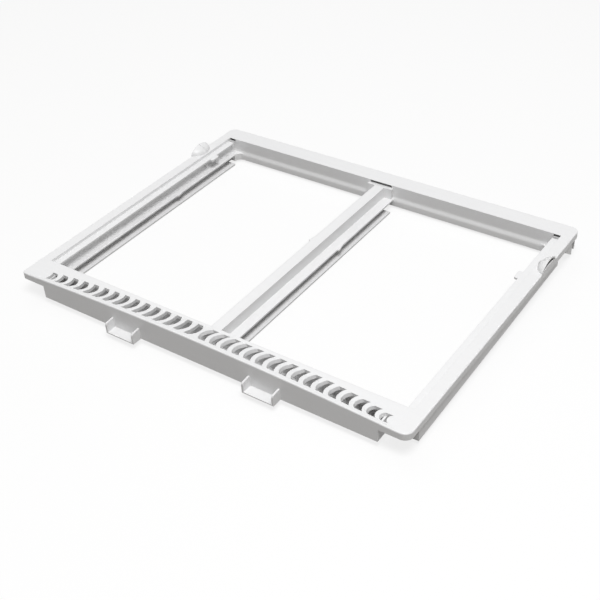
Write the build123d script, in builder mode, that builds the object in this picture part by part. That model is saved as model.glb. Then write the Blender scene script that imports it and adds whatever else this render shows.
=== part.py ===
import os
from math import sqrt

from build123d import *

# Overall frame, in millimetres
frame_width = 622.0
frame_depth = 489.0
corner_radius = 12.0
corner_radius_front_left = 6.0
edge_height = 10.0
edge_round = 1.5
skin = 3.0
wall = 2.6

# Side rails, measured inwards from the outer edge, down from the rim top, forwards from the back edge
rim_width = 16.5
ledge_drop = 4.8
web_gap = 3.5
ledge_overhang = 7.5
upper_drop = 22.0
upper_reach = 13.0
lower_drop = 35.5
lower_reach = 17.0
cove = 4.0
flange_round = 1.2
runner_stop = 48.0

# Outer side walls, deeper at the front than at the back
side_wall_start = 28.0
side_wall_stop = 69.0
side_front_drop = 31.5
side_back_drop = 22.5

# Centre rail
centre_width = 16.4
centre_upper_reach = 15.4
centre_lower_reach = 18.8

# Back rail, whose wall swells softly into a foot
back_rail_width = 30.0
foot_reach = 2.5
foot_drop = 34.0
foot_swell = 6.0
foot_round = 8.0
foot_corner = 10.0
inner_corner = 4.0

# Front panel, its crown and the skirt below it
panel_depth = 42.0
panel_skin = 5.0
panel_lip = 10.0
crown_height = 8.5
skirt_drop = 29.0
skirt_inset = 40.5
skirt_corner = 1.0

# Crescent louvres in the front panel, two rows placed by the middle of their convex side
louvre_count_left = 15
louvre_count_right = 16
louvre_end_left = 13.3
louvre_end_right = 5.95
louvre_middle_left = -7.3
louvre_middle_right = -3.2
louvre_width = 12.1
louvre_ratio = 0.75
louvre_draft = 2.5
louvre_swell = 5.5
louvre_hollow_left = 2.0
louvre_hollow_right = 4.2
louvre_curve = 0.35
louvre_margin = 7.0
louvre_short = 6.7
louvre_long = 30.0
louvre_cut = 2.0

# Forward brackets on the skirt
bracket_left = -117.0
bracket_right = 109.0
bracket_width = 48.0
bracket_reach = 14.5
bracket_back_height = 17.0
bracket_front_height = 16.0
bracket_round = 4.0
bracket_floor = 1.6

# Half-round hollow lugs on the rim, open towards the outside, placed from the back edge
lug_left = 91.0
lug_right = 109.0
lug_radius = 23.5
lug_overhang = 9.0
lug_rise = 12.0
lug_wall = 1.8
lug_rib = 0.8
lug_sill = 4.0

# Hanging tabs at the back corners, placed from the back edge
tab_start = 42.5
tab_length = 24.0
tab_slope = 22.0
tab_shallow = 18.0
tab_drop = 33.5
rib_start = 12.0
rib_drop = 28.5

# Tongues on the ledges, studs on the webs, stop teeth on the upper flanges, placed from the back edge
tongue_left = 91.0
tongue_right = 139.0
tongue_length = 17.0
tongue_reach = 6.0
tongue_round = 2.5
stud_position = 103.0
stud_drop = 15.0
stud_radius = 3.0
tooth_position = 193.0
tooth_ramp = 16.0
tooth_nose = 2.0
tooth_reach = 3.0

# Pockets in the back wall, open towards the front, and the holes in the ledges before the outer ones
slot_height = 4.0
slot_depth = 8.0
slot_width = 13.5
slot_shift = 2.5
hole_reach = 4.5
centre_slot_width = 38.0
pad_reach = 5.0

# Heights and planes that follow from the sizes above
rim_top = lower_drop + wall
half_width = frame_width / 2
y_front = (bracket_reach - frame_depth) / 2
y_back = y_front + frame_depth
y_panel = y_front + panel_depth
y_rear = y_back - back_rail_width
y_tab = y_back - tab_start
y_rib = y_back - rib_start
y_tooth = y_back - tooth_position
edge_low = rim_top - edge_height
ledge_top = rim_top - ledge_drop
ledge_low = ledge_top - skin
upper_top = rim_top - upper_drop
upper_low = upper_top - wall
lower_top = rim_top - lower_drop
foot_low = rim_top - foot_drop
swell_top = upper_top + foot_swell / 2
swell_low = upper_top - foot_swell / 2
skirt_low = rim_top - skirt_drop
skin_low = rim_top - skin
panel_low = rim_top - panel_skin
skin_middle = rim_top - skin / 2
rim_edge = -half_width + rim_width
web_face = rim_edge + web_gap
web_back = web_face - wall
ledge_edge = web_face + ledge_overhang
upper_edge = web_face + upper_reach
lower_edge = web_face + lower_reach
centre_half = centre_width / 2
half_crown = half_width - corner_radius
crown_run = panel_depth - 1.5 * wall
crown_slope = crown_height / crown_run
crown_stretch = sqrt(1 + crown_slope**2)
skirt_end = half_width - skirt_inset
cove_radius = min(cove, upper_drop - ledge_drop - skin - wall, lower_drop - upper_drop - wall)
rail_length = y_rear - y_panel
runner_length = frame_depth - runner_stop - panel_depth


def crown_at(x):
    """Height of the crowned front edge above the rim at x."""
    return crown_height * (1 - (x / half_crown) ** 2)


def panel_height(x, distance):
    """Height of the panel top above the rim, a distance behind the front edge."""
    return max(0.0, crown_at(x) - crown_slope * distance)


# Louvre cutters: each slot keeps a steep concave side and a sloping convex side
with BuildPart() as louvres:
    pitch_left = (louvre_middle_left + skirt_end - louvre_end_left) / (louvre_count_left - 1)
    pitch_right = (skirt_end - louvre_end_right - louvre_middle_right) / (louvre_count_right - 1)
    steps_left = [louvre_middle_left - i * pitch_left for i in range(louvre_count_left)]
    steps_right = [louvre_middle_right + i * pitch_right for i in range(louvre_count_right)]
    left_group = [(step, 1, louvre_hollow_left) for step in steps_left]
    right_group = [(step, -1, louvre_hollow_right) for step in steps_right]
    for far, bulge, hollow_depth in left_group + right_group:
        length = louvre_long - (louvre_long - louvre_short) * abs(far / half_crown) ** 3
        half_length = length / 2
        width = min(louvre_width, louvre_ratio * length)
        near = far - bulge * width
        near_end = near - bulge * min(hollow_depth, louvre_curve * length)
        swell = bulge * min(louvre_swell, louvre_curve * length)
        height_front = panel_height(far, louvre_margin)
        height_back = panel_height(far, louvre_margin + length)
        tilt = (height_back - height_front) / length
        height_middle = (height_front + height_back) / 2
        y_middle = y_front + louvre_margin + half_length
        for level, draft in ((louvre_cut / 2, 0), (-panel_skin - louvre_cut, bulge * louvre_draft)):
            origin = (0, y_middle, rim_top + height_middle + level)
            with BuildSketch(Plane(origin=origin, x_dir=(1, 0, 0), z_dir=(0, -tilt, 1))):
                with BuildLine():
                    far_middle = far - draft
                    far_end = far_middle - swell
                    ThreePointArc((near_end, -half_length), (near, 0), (near_end, half_length))
                    Line((near_end, half_length), (far_end, half_length))
                    ThreePointArc((far_end, half_length), (far_middle, 0), (far_end, -half_length))
                    Line((far_end, -half_length), (near_end, -half_length))
                make_face()
        loft(ruled=True)

# Rounded corner that closes the left channel against the foot of the back wall
with BuildPart() as corner:
    with BuildSketch(Plane.XY.offset(foot_low)):
        with BuildLine():
            arc_start = (upper_edge, y_rear - foot_reach - foot_corner)
            arc_end = (upper_edge + foot_corner, y_rear - foot_reach)
            Polyline(arc_start, (web_back, arc_start[1]), (web_back, y_rear + wall / 2),
                     (arc_end[0], y_rear + wall / 2), arc_end)
            RadiusArc(arc_end, arc_start, -foot_corner)
        make_face()
    extrude(amount=upper_top - foot_low)
    fillet(corner.edges().filter_by(GeomType.CIRCLE).sort_by(Axis.Z)[-1], flange_round)

# Left-hand side rail with everything that the right-hand side repeats in mirror image
with BuildPart() as rail:
    # Ledge, runner web and upper flange in one section
    with BuildSketch(Plane.XZ.offset(-y_panel + wall)) as rail_section:
        Polygon(
            (rim_edge - wall, skin_middle),
            (rim_edge, skin_middle),
            (rim_edge, ledge_top),
            (ledge_edge, ledge_top),
            (ledge_edge, ledge_low),
            (web_face, ledge_low),
            (web_face, upper_top),
            (upper_edge, upper_top),
            (upper_edge, upper_low),
            (web_face, upper_low),
            (web_face, 0),
            (web_back, 0),
            (web_back, ledge_low),
            (rim_edge - wall, ledge_low),
            align=None,
        )
        fillet(rail_section.vertices().sort_by_distance((web_face, upper_top))[0], cove_radius)
        fillet(rail_section.vertices().sort_by_distance((upper_edge, upper_top))[0], flange_round)
    extrude(amount=-(rail_length + 2 * wall))
    # Lower runner flange, which stops short of the back rail
    with BuildSketch(Plane.XZ.offset(-y_panel + wall)) as runner_section:
        with BuildLine():
            cove_top = (web_face, lower_top + cove_radius)
            cove_end = (web_face + cove_radius, lower_top)
            Polyline(cove_top, (web_back, lower_top + cove_radius), (web_back, 0),
                     (lower_edge, 0), (lower_edge, lower_top), cove_end)
            RadiusArc(cove_end, cove_top, cove_radius)
        make_face()
    extrude(amount=-(runner_length + wall))
    # Outer wall, deeper towards the front, with a return at its front end
    with BuildSketch(Plane.YZ.offset(-half_width + wall)):
        Polygon(
            (y_front + side_wall_start, skin_middle),
            (y_back - side_wall_stop, skin_middle),
            (y_back - side_wall_stop, rim_top - side_back_drop),
            (y_front + side_wall_start, rim_top - side_front_drop),
            align=None,
        )
    extrude(amount=wall)
    with BuildSketch(Plane.XZ.offset(-y_front - side_wall_start)):
        Polygon(
            (-half_width + wall, skin_middle),
            (web_face, skin_middle),
            (web_face, rim_top - side_front_drop),
            (-half_width + wall, rim_top - side_front_drop),
            align=None,
        )
    extrude(amount=-wall)
    # Hanging tab and rib by the back corner
    with BuildSketch(Plane.YZ.offset(-half_width + wall)):
        Polygon(
            (y_tab, skin_middle),
            (y_tab + tab_length, skin_middle),
            (y_tab + tab_length, rim_top - tab_drop),
            (y_tab + tab_slope, rim_top - tab_drop),
            (y_tab, rim_top - tab_shallow),
            align=None,
        )
        Polygon(
            (y_rib, skin_middle),
            (y_rib + wall, skin_middle),
            (y_rib + wall, rim_top - rib_drop),
            (y_rib, rim_top - rib_drop),
            align=None,
        )
    extrude(amount=wall)
    # Rounded inner corner between the runner web and the back wall
    with BuildSketch(Plane.XY.offset(upper_low)):
        with BuildLine():
            web_end = (web_face, y_rear - inner_corner)
            wall_end = (web_face + inner_corner, y_rear)
            Polyline(web_end, (web_back, y_rear - inner_corner), (web_back, y_rear + wall / 2),
                     (web_face + inner_corner, y_rear + wall / 2), wall_end)
            RadiusArc(wall_end, web_end, -inner_corner)
        make_face()
    extrude(amount=ledge_top - upper_low)
    add(corner.part)
    # Stud on the runner web
    with BuildSketch(Plane.YZ.offset(web_back)):
        with Locations((y_back - stud_position, rim_top - stud_drop)):
            Circle(stud_radius)
    extrude(amount=2 * wall)
    # Stop tooth on the upper flange
    with BuildSketch(Plane.XY.offset(upper_low)):
        Polygon(
            (web_face, y_tooth),
            (upper_edge, y_tooth),
            (upper_edge + tooth_reach, y_tooth + tooth_nose),
            (upper_edge, y_tooth + tooth_ramp),
            (web_face, y_tooth + tooth_ramp),
            align=None,
        )
    extrude(amount=wall)

# Tongue for the left ledge, drawn about its own middle
with BuildPart() as tongue:
    with BuildSketch(Plane.XY.offset(ledge_low)) as tongue_outline:
        Polygon(
            (web_face, -tongue_length / 2),
            (ledge_edge + tongue_reach, -tongue_length / 2),
            (ledge_edge + tongue_reach, tongue_length / 2),
            (web_face, tongue_length / 2),
            align=None,
        )
        fillet(tongue_outline.vertices().group_by(Axis.X)[-1], tongue_round)
    extrude(amount=skin)

# Half-round lug for the left rim: a thin dome cut off at the outer face, with a rib over its crest
with BuildPart() as lug:
    lug_axis = -half_width - lug_overhang
    dome = lug_rise / sqrt(1 - (lug_overhang / lug_radius) ** 2)
    with BuildSketch(Plane.XZ):
        with BuildLine():
            EllipticalCenterArc((lug_axis, rim_top), lug_radius, dome, arc_size=90)
            Polyline((lug_axis, rim_top + dome), (lug_axis, skin_middle),
                     (lug_axis + lug_radius, skin_middle), (lug_axis + lug_radius, rim_top))
        make_face()
    revolve(axis=Axis((lug_axis, 0, 0), (0, 0, 1)))
    with BuildSketch(Plane.XZ):
        with BuildLine():
            rib_edge = lug_axis + lug_radius + lug_rib
            EllipticalCenterArc((lug_axis, rim_top), lug_radius + lug_rib, dome + lug_rib, arc_size=90)
            Polyline((lug_axis, rim_top + dome + lug_rib), (lug_axis, skin_middle),
                     (rib_edge, skin_middle), (rib_edge, rim_top))
        make_face()
    extrude(amount=lug_wall / 2, both=True)
    with BuildSketch(Plane.XZ):
        with BuildLine():
            EllipticalCenterArc((lug_axis, rim_top), lug_radius - lug_wall, dome - lug_wall, arc_size=90)
            Polyline((lug_axis, rim_top + dome - lug_wall), (lug_axis, rim_top),
                     (lug_axis + lug_radius - lug_wall, rim_top))
        make_face()
    revolve(axis=Axis((lug_axis, 0, 0), (0, 0, 1)), mode=Mode.SUBTRACT)
    split(bisect_by=Plane.YZ.offset(-half_width))
    mouth = sqrt(lug_radius**2 - lug_overhang**2) - lug_wall
    with BuildSketch(Plane.YZ.offset(-half_width)):
        with BuildLine():
            EllipticalCenterArc((0, rim_top), mouth, lug_sill, arc_size=180)
            Polyline((-mouth, rim_top), (-mouth, skin_middle), (mouth, skin_middle), (mouth, rim_top))
        make_face()
    extrude(amount=lug_wall)

# Crown of the front panel, highest in the middle of the front edge
with BuildPart() as crown:
    with BuildSketch(Plane.XZ.offset(-y_front)):
        with BuildLine():
            ThreePointArc((-half_crown, rim_top), (0, rim_top + crown_height), (half_crown, rim_top))
            Polyline((half_crown, rim_top), (half_crown, edge_low),
                     (-half_crown, edge_low), (-half_crown, rim_top))
        make_face()
    extrude(amount=panel_depth * crown_stretch, dir=(0, 1, -crown_slope))
    fillet(crown.edges().filter_by(GeomType.CIRCLE).sort_by(Axis.Y)[0], edge_round)

with BuildPart() as cover:
    # Rim plate with rounded corners and a rounded top edge, and the crown on it
    with BuildSketch(Plane.XY.offset(edge_low)) as rim_outline:
        with Locations((0, y_front + frame_depth / 2)):
            Rectangle(frame_width, frame_depth)
        front_left = rim_outline.vertices().sort_by_distance((-half_width, y_front))[0]
        others = [vertex for vertex in rim_outline.vertices() if vertex != front_left]
        fillet(others, corner_radius)
        fillet(rim_outline.vertices().sort_by_distance((-half_width, y_front))[0], corner_radius_front_left)
    extrude(amount=edge_height)
    fillet(cover.edges().group_by(Axis.Z)[-1], edge_round)
    add(crown.part)
    # Hollow under the whole rim, deeper under the side and back rims than under the front panel
    with BuildSketch(Plane.XY.offset(panel_low)):
        with Locations((0, y_front + frame_depth / 2)):
            RectangleRounded(frame_width - 2 * wall, frame_depth - 2 * wall, corner_radius - wall)
    extrude(amount=-(edge_height + crown_height), mode=Mode.SUBTRACT)
    with BuildSketch(Plane.XY.offset(skin_low)):
        with Locations((0, y_front + frame_depth / 2)):
            RectangleRounded(frame_width - 2 * wall, frame_depth - 2 * wall, corner_radius - wall)
        with Locations((0, y_front + panel_depth / 2)):
            Rectangle(frame_width, panel_depth, mode=Mode.SUBTRACT)
    extrude(amount=-panel_skin, mode=Mode.SUBTRACT)
    # Hollow that follows the crown
    with BuildSketch(Plane.XZ.offset(-y_front - wall)):
        with BuildLine():
            under = panel_low - crown_slope * wall
            ThreePointArc((-half_crown, under), (0, under + crown_height), (half_crown, under))
            Polyline((half_crown, under), (half_crown, edge_low),
                     (-half_crown, edge_low), (-half_crown, under))
        make_face()
    extrude(amount=(panel_depth - 2 * wall) * crown_stretch, dir=(0, 1, -crown_slope), mode=Mode.SUBTRACT)
    # Opening between the rims
    with BuildSketch(Plane.XY.offset(rim_top)):
        with Locations((0, (y_panel + y_rear) / 2)):
            Rectangle(-2 * rim_edge, rail_length)
    extrude(amount=-(edge_height + crown_height), mode=Mode.SUBTRACT)
    # Louvres
    add(louvres.part, mode=Mode.SUBTRACT)
    # Front skirt with return walls, and the wall behind the panel with its forward lip
    with BuildSketch(Plane.XZ.offset(-y_front)) as skirt:
        with Locations((0, (panel_low + skirt_low) / 2)):
            Rectangle(2 * skirt_end, panel_low - skirt_low)
        fillet(skirt.vertices().group_by(Axis.Y)[0], skirt_corner)
    extrude(amount=-wall)
    with BuildSketch(Plane.XZ.offset(-y_panel)):
        with Locations((0, (skin_middle + skirt_low) / 2)):
            Rectangle(2 * skirt_end, skin_middle - skirt_low)
    extrude(amount=wall)
    with BuildSketch(Plane.XY.offset(skirt_low)):
        with Locations((0, y_panel - panel_lip / 2)):
            Rectangle(2 * skirt_end, panel_lip)
    extrude(amount=wall)
    for return_x in (-skirt_end, skirt_end - wall):
        with BuildSketch(Plane.YZ.offset(return_x)):
            with Locations(((y_front + y_panel) / 2, (panel_low + skirt_low + skirt_corner) / 2)):
                Rectangle(panel_depth - wall, panel_low - skirt_low - skirt_corner)
        extrude(amount=wall)
    # Back wall that swells into the foot
    with BuildSketch(Plane.YZ.offset(web_back)) as back_section:
        Polygon(
            (y_rear, skin_middle),
            (y_rear, swell_top),
            (y_rear - foot_reach, swell_low),
            (y_rear - foot_reach, foot_low),
            (y_rear - foot_reach + wall, foot_low),
            (y_rear - foot_reach + wall, swell_low),
            (y_rear + wall, swell_top),
            (y_rear + wall, skin_middle),
            align=None,
        )
        for bend in ((y_rear, swell_top), (y_rear - foot_reach, swell_low)):
            fillet(back_section.vertices().sort_by_distance(bend)[0], foot_round)
    extrude(amount=-2 * web_back)
    # Side rails, then the lugs and tongues, which sit further back on the left than on the right
    add(rail.part)
    mirror(rail.part, about=Plane.YZ)
    fittings = ((lug, lug_left, lug_right), (tongue, tongue_left, tongue_right))
    for fitting, place_left, place_right in fittings:
        with Locations((0, y_back - place_left, 0)):
            add(fitting.part)
        with Locations((0, y_back - place_right, 0)):
            add(mirror(fitting.part, about=Plane.YZ, mode=Mode.PRIVATE))
    # Centre rail, a box open below with flanges on both sides
    with BuildSketch(Plane.XZ.offset(-y_panel + wall)) as centre_section:
        Polygon(
            (0, ledge_top),
            (centre_half, ledge_top),
            (centre_half, upper_top),
            (centre_half + centre_upper_reach, upper_top),
            (centre_half + centre_upper_reach, upper_low),
            (centre_half, upper_low),
            (centre_half, 0),
            (centre_half - wall, 0),
            (centre_half - wall, ledge_low),
            (0, ledge_low),
            align=None,
        )
        mirror(about=Plane.YZ)
    extrude(amount=-(rail_length + 2 * wall))
    with BuildSketch(Plane.XZ.offset(-y_panel + wall)):
        with Locations((0, lower_top / 2)):
            Rectangle(2 * (centre_half + centre_lower_reach), lower_top)
            Rectangle(centre_width - 2 * wall, lower_top, mode=Mode.SUBTRACT)
    extrude(amount=-(runner_length + wall))
    with BuildSketch(Plane.XY.offset(upper_low)):
        Polygon(
            (centre_half, y_tooth),
            (centre_half + centre_upper_reach, y_tooth),
            (centre_half + centre_upper_reach + tooth_reach, y_tooth + tooth_nose),
            (centre_half + centre_upper_reach, y_tooth + tooth_ramp),
            (centre_half, y_tooth + tooth_ramp),
            align=None,
        )
        mirror(about=Plane.YZ)
    extrude(amount=wall)
    # Pad under the centre pocket, then the three pockets behind the back wall
    with BuildSketch(Plane.XY.offset(upper_top)):
        with Locations((0, y_rear - pad_reach / 2)):
            Rectangle(centre_slot_width + 2 * wall, pad_reach)
    extrude(amount=ledge_top - upper_top)
    pocket_side = rim_edge - slot_shift + slot_width / 2
    pockets = ((-pocket_side, slot_width), (0, centre_slot_width), (pocket_side, slot_width))
    for pocket_x, pocket_width in pockets:
        with BuildSketch(Plane.XY.offset(ledge_low)):
            with Locations((pocket_x, y_rear + (slot_depth + wall) / 2)):
                Rectangle(pocket_width + 2 * wall, slot_depth + wall)
        extrude(amount=skin_middle - ledge_low)
        with BuildSketch(Plane.XY.offset(ledge_top)):
            with Locations((pocket_x, y_rear + slot_depth / 2)):
                Rectangle(pocket_width, slot_depth)
        extrude(amount=slot_height, mode=Mode.SUBTRACT)
    hole_width = slot_width - slot_shift
    with BuildSketch(Plane.XY.offset(ledge_low)):
        with Locations((rim_edge + hole_width / 2, y_rear - hole_reach / 2)):
            Rectangle(hole_width, hole_reach)
        mirror(about=Plane.YZ)
    extrude(amount=skin + slot_height, mode=Mode.SUBTRACT)
    # Forward brackets: a floor and two side walls each
    for bracket_x in (bracket_left, bracket_right):
        with BuildSketch(Plane.XY.offset(skirt_low)):
            with Locations((bracket_x, y_front + (wall - bracket_reach) / 2)):
                Rectangle(bracket_width, bracket_reach + wall)
        extrude(amount=bracket_floor)
        for wall_x in (bracket_x - bracket_width / 2, bracket_x + bracket_width / 2 - wall):
            with BuildSketch(Plane.YZ.offset(wall_x)) as bracket_side:
                Polygon(
                    (y_front + wall, skirt_low),
                    (y_front + wall, skirt_low + bracket_back_height),
                    (y_front, skirt_low + bracket_back_height),
                    (y_front - bracket_reach, skirt_low + bracket_front_height),
                    (y_front - bracket_reach, skirt_low),
                    align=None,
                )
                nose = (y_front - bracket_reach, skirt_low + bracket_front_height)
                fillet(bracket_side.vertices().sort_by_distance(nose)[0], bracket_round)
            extrude(amount=wall)

cover.part.label = "crisper_cover"
os.makedirs("parts", exist_ok=True)
export_step(cover.part, "parts/crisper_cover.step")
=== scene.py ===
from math import radians

import bpy
from mathutils import Euler, Matrix, Vector

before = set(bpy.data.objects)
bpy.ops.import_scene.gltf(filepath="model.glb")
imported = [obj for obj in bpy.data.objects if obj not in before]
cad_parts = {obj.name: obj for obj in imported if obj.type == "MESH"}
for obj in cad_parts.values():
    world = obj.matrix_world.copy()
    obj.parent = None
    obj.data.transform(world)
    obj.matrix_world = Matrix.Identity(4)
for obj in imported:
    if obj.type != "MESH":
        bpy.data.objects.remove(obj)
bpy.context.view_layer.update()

# Camera, in metres and degrees, at the photograph's viewing angle
camera_place = Vector((0.709, -0.960, 0.8563))
camera_azimuth = 36.63
camera_elevation = 37.07
camera_roll = -3.53
camera_lens = 61.67
sensor_width = 36.0

# Studio: lamps aim at the middle of the cover
aim = Vector((0.0, 0.0, 0.02))
key_place = Vector((0.90, -0.75, 3.0))
key_size = 1.4
key_power = 79.0
fill_place = Vector((-1.2, 0.8, 2.0))
fill_size = 1.6
fill_power = 7.0
sky_strength = 0.23
sky_colour = (1.0, 0.985, 0.97)

# Floor: what the camera sees is white with a share of shadow, what lights the cover is greyer
floor_size = 30.0
floor_gap = 0.0003
floor_bounce = (0.27, 0.26, 0.247)
floor_white = 0.95
floor_shadow = 0.2
white = (1.0, 1.0, 1.0)
white_strength = 1.0

# Plastic: colour, refraction and the range of its roughness
plastic_colour = (0.868, 0.871, 0.878)
plastic_ior = 1.49
rough_low = 0.40
rough_high = 0.50

# Sparked grain of the mould, which is bump only
grain_size = 0.0007
grain_detail = 3.0
grain_strength = 0.12
grain_depth = 0.00012

# Faint marks in the colour: broad mottle, flow lines along the width and fine speckle
mottle_size = 0.06
mottle_detail = 4.0
mottle_shade = 0.985
flow_size = 0.006
flow_detail = 2.0
flow_stretch = (0.05, 1.0, 1.0)
flow_shade = 0.96
flow_share = 0.5
speckle_size = 0.0025
speckle_detail = 2.0
speckle_shade = 0.965
speckle_share = 0.5

# Edges: rounded in the light, smoother than the faces, and a little lighter as a painted highlight
edge_radius = 0.0006
edge_samples = 6
edge_full = 0.75
edge_none = 0.99
edge_highlight = 1.03
edge_polish = -0.10

# Painted shade in inner corners: full and none say how open a spot is
corner_shade_colour = (0.60, 0.592, 0.580)
corner_shade_reach = 0.015
corner_shade_samples = 8
corner_shade_share = 0.28
corner_shade_full = 0.25
corner_shade_none = 0.9

# Painted dark shade deep in narrow pockets and slots
pocket_shade_colour = (0.10, 0.098, 0.095)
pocket_shade_reach = 0.020
pocket_shade_samples = 12
pocket_shade_share = 0.92
pocket_shade_full = 0.04
pocket_shade_none = 0.20

# The part of a noise's range that is used
noise_low = 0.3
noise_high = 0.7

# Sockets of the colour mix node, whose names repeat
mix_factor = 0
mix_first = 6
mix_second = 7
mix_result = 2


def opaque(colour):
    """A colour with full alpha, as colour sockets take it."""
    return (*colour, 1.0)


def shaded(share):
    """The plastic's colour, darker or lighter by a share."""
    return tuple(min(1.0, channel * share) for channel in plastic_colour)


def add_node(tree, kind, **settings):
    """A new node with its plain settings and the defaults of its named sockets."""
    node = tree.nodes.new(kind)
    for name, value in settings.items():
        if name in node.inputs:
            node.inputs[name].default_value = value
        else:
            setattr(node, name, value)
    return node


def feed(tree, socket, value):
    """Link a socket to another one, or set it to a plain colour or number."""
    if isinstance(value, bpy.types.NodeSocket):
        tree.links.new(value, socket)
    elif isinstance(value, tuple):
        socket.default_value = opaque(value)
    else:
        socket.default_value = value


def new_material(name):
    """An empty node material and its tree and output."""
    material = bpy.data.materials.new(name)
    material.use_nodes = True
    tree = material.node_tree
    tree.nodes.clear()
    return material, tree, tree.nodes.new("ShaderNodeOutputMaterial")


def noise(tree, place, size, detail, stretch=(1.0, 1.0, 1.0)):
    """Noise with lumps of about the given size in metres, stretched along the axes."""
    mapping = add_node(tree, "ShaderNodeMapping", Scale=stretch)
    tree.links.new(place, mapping.inputs["Vector"])
    texture = add_node(tree, "ShaderNodeTexNoise", Scale=1.0 / size, Detail=detail)
    tree.links.new(mapping.outputs["Vector"], texture.inputs["Vector"])
    return texture.outputs["Fac"]


def ranged(tree, value, low, high, from_low=noise_low, from_high=noise_high):
    """A value moved from one range to another."""
    node = add_node(tree, "ShaderNodeMapRange")
    limits = {"From Min": from_low, "From Max": from_high, "To Min": low, "To Max": high}
    for socket, number in limits.items():
        node.inputs[socket].default_value = number
    tree.links.new(value, node.inputs["Value"])
    return node.outputs["Result"]


def mixed(tree, factor, first, second):
    """Two colours mixed by a factor, each a socket or a plain value."""
    node = add_node(tree, "ShaderNodeMix", data_type="RGBA")
    feed(tree, node.inputs[mix_factor], factor)
    feed(tree, node.inputs[mix_first], first)
    feed(tree, node.inputs[mix_second], second)
    return node.outputs[mix_result]


def mixed_shaders(tree, factor, first, second):
    """Two shaders mixed by a factor, which is a socket or a plain share."""
    node = add_node(tree, "ShaderNodeMixShader")
    for socket, value in zip(node.inputs, (factor, first, second)):
        feed(tree, socket, value)
    return node.outputs["Shader"]


def sheltered(tree, reach, samples, share, full, none):
    """How much painted shade lies where the surface is closed in, from none up to a share."""
    openness = add_node(tree, "ShaderNodeAmbientOcclusion", samples=samples, Distance=reach)
    return ranged(tree, openness.outputs["AO"], share, 0.0, full, none)


def moulded_plastic():
    """Satin white moulding: grain, faint marks, softened edges with a painted highlight, painted
    shade in corners, painted dark shade in pockets.
    """
    material, tree, output = new_material("moulded_plastic")
    links = tree.links
    shader = add_node(tree, "ShaderNodeBsdfPrincipled", IOR=plastic_ior)
    links.new(shader.outputs["BSDF"], output.inputs["Surface"])
    place = tree.nodes.new("ShaderNodeTexCoord").outputs["Object"]
    grain = noise(tree, place, grain_size, grain_detail)
    mottle = noise(tree, place, mottle_size, mottle_detail)
    flow = noise(tree, place, flow_size, flow_detail, flow_stretch)
    speckle = noise(tree, place, speckle_size, speckle_detail)

    # An edge is where the rounded normal leaves the true one
    bevel = add_node(tree, "ShaderNodeBevel", samples=edge_samples, Radius=edge_radius)
    geometry = tree.nodes.new("ShaderNodeNewGeometry")
    facing = add_node(tree, "ShaderNodeVectorMath", operation="DOT_PRODUCT")
    links.new(bevel.outputs["Normal"], facing.inputs[0])
    links.new(geometry.outputs["Normal"], facing.inputs[1])
    edge = ranged(tree, facing.outputs["Value"], 1.0, 0.0, edge_full, edge_none)

    # Painted shade in inner corners, from ambient occlusion
    corner_shade = sheltered(tree, corner_shade_reach, corner_shade_samples, corner_shade_share, corner_shade_full, corner_shade_none)
    # Painted dark shade deep in pockets and slots, from ambient occlusion
    pocket_shade = sheltered(tree, pocket_shade_reach, pocket_shade_samples, pocket_shade_share, pocket_shade_full, pocket_shade_none)

    tint = mixed(tree, ranged(tree, mottle, 0.0, 1.0), shaded(mottle_shade), plastic_colour)
    tint = mixed(tree, ranged(tree, flow, 0.0, flow_share), tint, shaded(flow_shade))
    tint = mixed(tree, ranged(tree, speckle, 0.0, speckle_share), tint, shaded(speckle_shade))
    # Painted shade in inner corners
    tint = mixed(tree, corner_shade, tint, corner_shade_colour)
    # Painted highlight: edges a little lighter than the faces
    tint = mixed(tree, edge, tint, shaded(edge_highlight))
    # Painted dark shade deep in pockets and slots
    tint = mixed(tree, pocket_shade, tint, pocket_shade_colour)
    links.new(tint, shader.inputs["Base Color"])

    # Roughness follows the mottle and drops at the edges
    rough = add_node(tree, "ShaderNodeMath", operation="MULTIPLY_ADD")
    links.new(edge, rough.inputs[0])
    rough.inputs[1].default_value = edge_polish
    links.new(ranged(tree, mottle, rough_low, rough_high), rough.inputs[2])
    links.new(rough.outputs["Value"], shader.inputs["Roughness"])

    bump = add_node(tree, "ShaderNodeBump", Strength=grain_strength, Distance=grain_depth)
    links.new(grain, bump.inputs["Height"])
    links.new(bevel.outputs["Normal"], bump.inputs["Normal"])
    links.new(bump.outputs["Normal"], shader.inputs["Normal"])
    return material


def background_rays(tree):
    """1 where the camera, a reflection or a view through the object meets the background."""
    path = tree.nodes.new("ShaderNodeLightPath")
    seen = path.outputs["Is Camera Ray"]
    for name in ("Is Glossy Ray", "Is Transmission Ray"):
        either = add_node(tree, "ShaderNodeMath", operation="MAXIMUM")
        tree.links.new(seen, either.inputs[0])
        tree.links.new(path.outputs[name], either.inputs[1])
        seen = either.outputs["Value"]
    return seen


def pale_floor():
    """A white floor that keeps a light shadow, and sends less light up than the camera sees."""
    material, tree, output = new_material("pale_floor")
    shade = add_node(tree, "ShaderNodeBsdfDiffuse", Color=opaque((floor_white,) * 3))
    glow = add_node(tree, "ShaderNodeEmission", Color=opaque(white), Strength=white_strength)
    bounce = add_node(tree, "ShaderNodeBsdfDiffuse", Color=opaque(floor_bounce))
    shown = mixed_shaders(tree, floor_shadow, glow.outputs["Emission"], shade.outputs["BSDF"])
    surface = mixed_shaders(tree, background_rays(tree), bounce.outputs["BSDF"], shown)
    tree.links.new(surface, output.inputs["Surface"])
    return material


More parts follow.
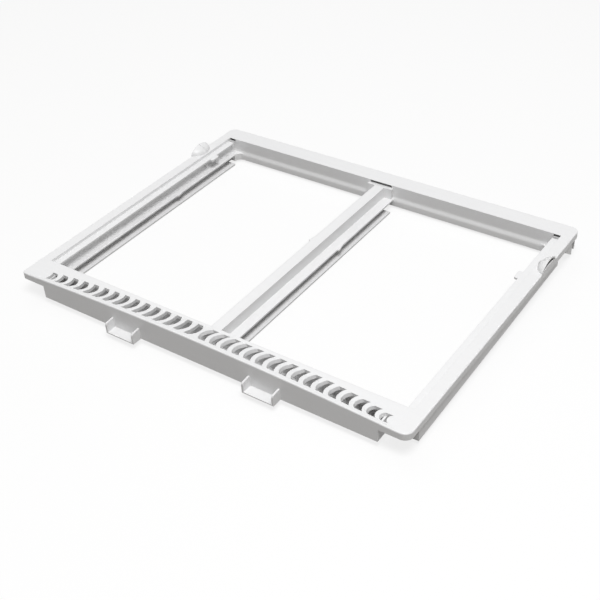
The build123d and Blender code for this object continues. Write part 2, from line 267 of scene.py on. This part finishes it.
def build_floor():
    """A flat square just under the cover."""
    half = floor_size / 2
    mesh = bpy.data.meshes.new("floor")
    corners = [(-half, -half), (half, -half), (half, half), (-half, half)]
    mesh.from_pydata([(x, y, -floor_gap) for x, y in corners], [], [(0, 1, 2, 3)])
    mesh.materials.append(pale_floor())
    floor = bpy.data.objects.new("floor", mesh)
    bpy.context.scene.collection.objects.link(floor)


def build_world():
    """Even sky light, seen as white."""
    world = bpy.data.worlds.new("studio")
    bpy.context.scene.world = world
    world.use_nodes = True
    tree = world.node_tree
    tree.nodes.clear()
    output = tree.nodes.new("ShaderNodeOutputWorld")
    sky = add_node(tree, "ShaderNodeBackground", Color=opaque(sky_colour), Strength=sky_strength)
    plain = add_node(tree, "ShaderNodeBackground", Color=opaque(white), Strength=white_strength)
    seen = background_rays(tree)
    both = mixed_shaders(tree, seen, sky.outputs["Background"], plain.outputs["Background"])
    tree.links.new(both, output.inputs["Surface"])


def add_lamp(name, place, size, power):
    """A square soft lamp that aims at the cover."""
    light = bpy.data.lights.new(name, "AREA")
    light.size = size
    light.energy = power
    lamp = bpy.data.objects.new(name, light)
    lamp.location = place
    lamp.rotation_euler = (aim - place).to_track_quat("-Z", "Y").to_euler()
    bpy.context.scene.collection.objects.link(lamp)


def add_camera():
    """The photograph's camera: its place, direction, roll and lens."""
    data = bpy.data.cameras.new("camera")
    data.sensor_width = sensor_width
    data.lens = camera_lens
    camera = bpy.data.objects.new("camera", data)
    turn = Euler((radians(90.0 - camera_elevation), 0.0, radians(camera_azimuth))).to_matrix()
    turn = turn @ Matrix.Rotation(radians(camera_roll), 3, "Z")
    camera.matrix_world = Matrix.Translation(camera_place) @ turn.to_4x4()
    bpy.context.scene.collection.objects.link(camera)
    bpy.context.scene.camera = camera


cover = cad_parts["crisper_cover"]
cover.data.materials.clear()
cover.data.materials.append(moulded_plastic())

build_floor()
build_world()
add_lamp("key", key_place, key_size, key_power)
add_lamp("fill", fill_place, fill_size, fill_power)
add_camera()
bpy.context.scene.view_settings.view_transform = "Standard"
